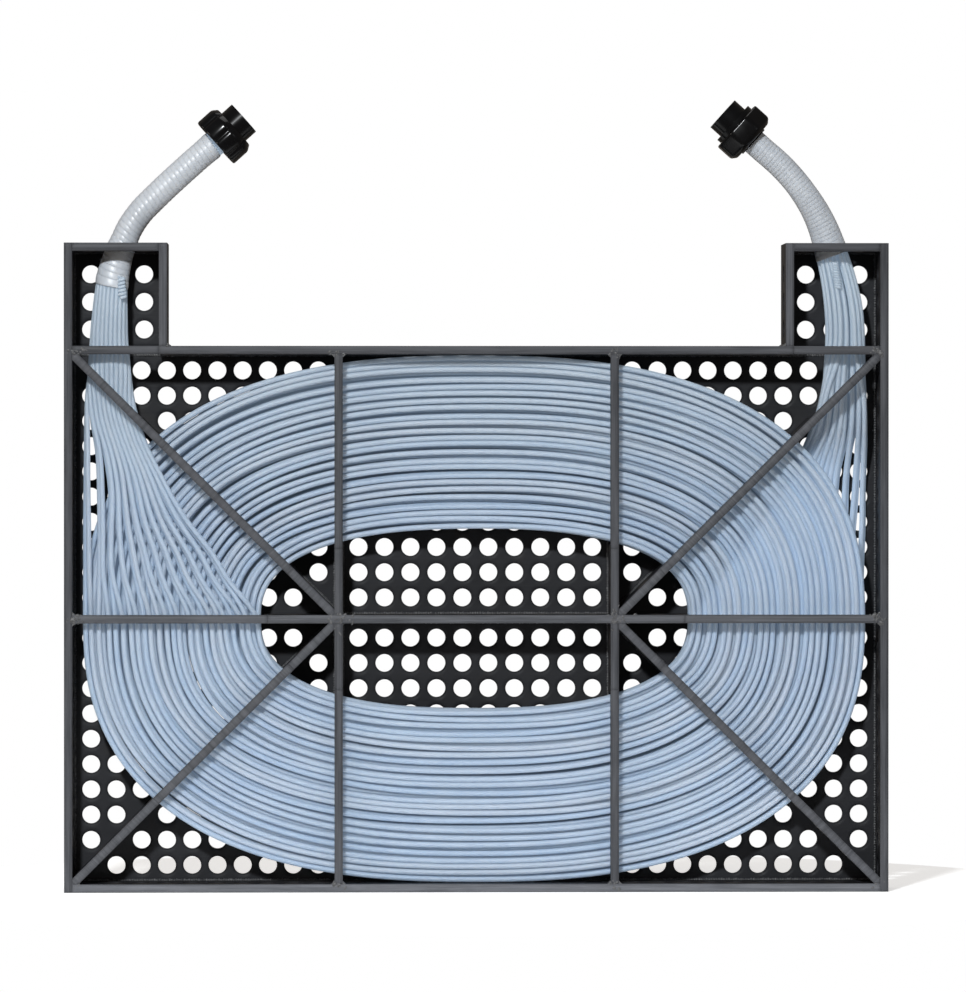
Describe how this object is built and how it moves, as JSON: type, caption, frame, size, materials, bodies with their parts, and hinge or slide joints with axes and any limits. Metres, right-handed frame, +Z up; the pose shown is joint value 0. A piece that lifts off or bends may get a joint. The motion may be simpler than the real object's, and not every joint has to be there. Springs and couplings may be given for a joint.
{
  "type": "immersion coil heat exchanger",
  "caption": "Oval winding of thin plastic tubes in a welded, perforated plastic frame, with two wrapped risers ending in pipe unions.",
  "frame": {"origin": "centre of the base, on the plane that the bottom wall stands on", "axes": "+X to the right as seen from the open front, +Y from the front to the perforated back, +Z up"},
  "size_m": [0.8, 0.07, 0.7702],
  "materials": {
    "sheet": "sawn and scraped dark grey sheet",
    "weld": "rough welding bead",
    "tube": "translucent pale blue tube",
    "wrap": "milky translucent spiral wrap",
    "union": "moulded black pipe fitting",
    "seal": "moulded rubber ring",
    "resin": "cast and faced"
  },
  "bodies": {
    "frame": {"back_panel": "sheet", "left_tower_panel": "sheet", "right_tower_panel": "sheet", "left_side_wall": "sheet", "right_side_wall": "sheet", "bottom_wall": "sheet", "top_wall": "sheet", "left_tower_inner_wall": "sheet", "right_tower_inner_wall": "sheet", "left_tower_cap": "sheet", "right_tower_cap": "sheet", "middle_rib": "sheet", "left_upright_rib": "sheet", "right_upright_rib": "sheet", "upper_left_rib_stub": "sheet", "upper_right_rib_stub": "sheet", "lower_left_rib_stub": "sheet", "lower_right_rib_stub": "sheet", "upper_left_corner_rib": "sheet", "upper_right_corner_rib": "sheet", "lower_left_corner_rib": "sheet", "lower_right_corner_rib": "sheet", "left_middle_strip": "sheet", "right_middle_strip": "sheet", "left_upright_strips": "sheet", "right_upright_strips": "sheet", "upper_left_diagonal_strip": "sheet", "upper_right_diagonal_strip": "sheet", "lower_left_diagonal_strip": "sheet", "lower_right_diagonal_strip": "sheet", "left_tower_bar": "sheet", "right_tower_bar": "sheet", "weld_beads": "weld", "winding_core": "tube", "winding_front_layer": "tube", "left_fan": "tube", "right_fan": "tube", "left_riser": "tube", "right_riser": "tube", "left_spiral_wrap": "wrap", "right_spiral_wrap": "wrap", "left_threaded_body": "union", "right_tail": "union", "left_o_ring": "seal", "left_tube_sheet": "resin", "right_tube_sheet": "resin"},
    "left_tail": {"left_tail": "union"},
    "left_nut": {"left_nut": "union"},
    "right_nut": {"right_nut": "union"},
    "right_socket": {"right_socket_body": "union", "right_o_ring": "seal"}
  },
  "joints": [
    {"name": "left_tail_slide", "type": "slide", "parent": "frame", "child": "left_tail", "axis": [0.7431, 0, 0.6691], "range_m": [0, 0.009]},
    {"name": "left_nut_turn", "type": "hinge", "parent": "left_tail", "child": "left_nut", "pos_m": [-0.22613, 0, 0.75238], "axis": [0.7431, 0, 0.6691], "range_deg": [0, 1080]},
    {"name": "right_nut_turn", "type": "hinge", "parent": "frame", "child": "right_nut", "pos_m": [0.24051, 0, 0.75707], "axis": [0.7431, 0, -0.6691], "range_deg": [0, 1080]},
    {"name": "right_socket_slide", "type": "slide", "parent": "frame", "child": "right_socket", "axis": [-0.7431, 0, 0.6691], "range_m": [0, 0.009]}
  ],
  "couplings": [
    {"joint": "left_tail_slide", "follows": "left_nut_turn", "m_per_rad": 0.000477},
    {"joint": "right_socket_slide", "follows": "right_nut_turn", "m_per_rad": 0.000477}
  ]
}
